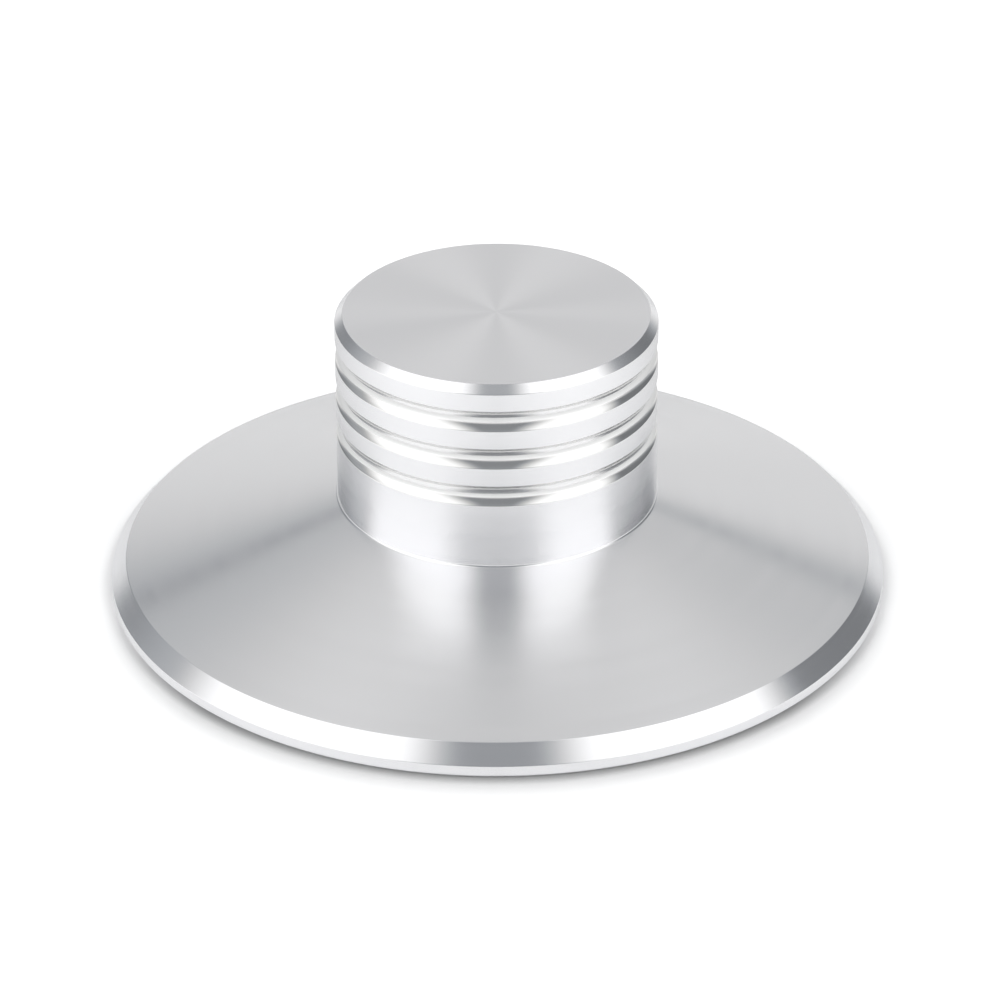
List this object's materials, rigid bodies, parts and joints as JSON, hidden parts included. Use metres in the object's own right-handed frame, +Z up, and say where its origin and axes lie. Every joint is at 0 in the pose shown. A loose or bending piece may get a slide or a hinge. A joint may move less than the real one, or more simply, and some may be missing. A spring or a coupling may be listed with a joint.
{
  "type": "record weight clamp",
  "caption": "Round turned metal weight with a flat coned base, a grooved finger knob and a blind spindle bore underneath, set on a record's label to hold the disc flat on the platter.",
  "frame": {"origin": "on the spindle axis, in the plane of the resting face", "axes": "+Z up along the spindle axis, from the resting face to the top of the knob; X and Y are free, because the part is round"},
  "size_m": [0.078, 0.078, 0.0295],
  "materials": {
    "turned_aluminium": "fine turned satin, with bright cut chamfers and grooves"
  },
  "bodies": {
    "root": {"weight_body": "turned_aluminium"}
  },
  "joints": []
}
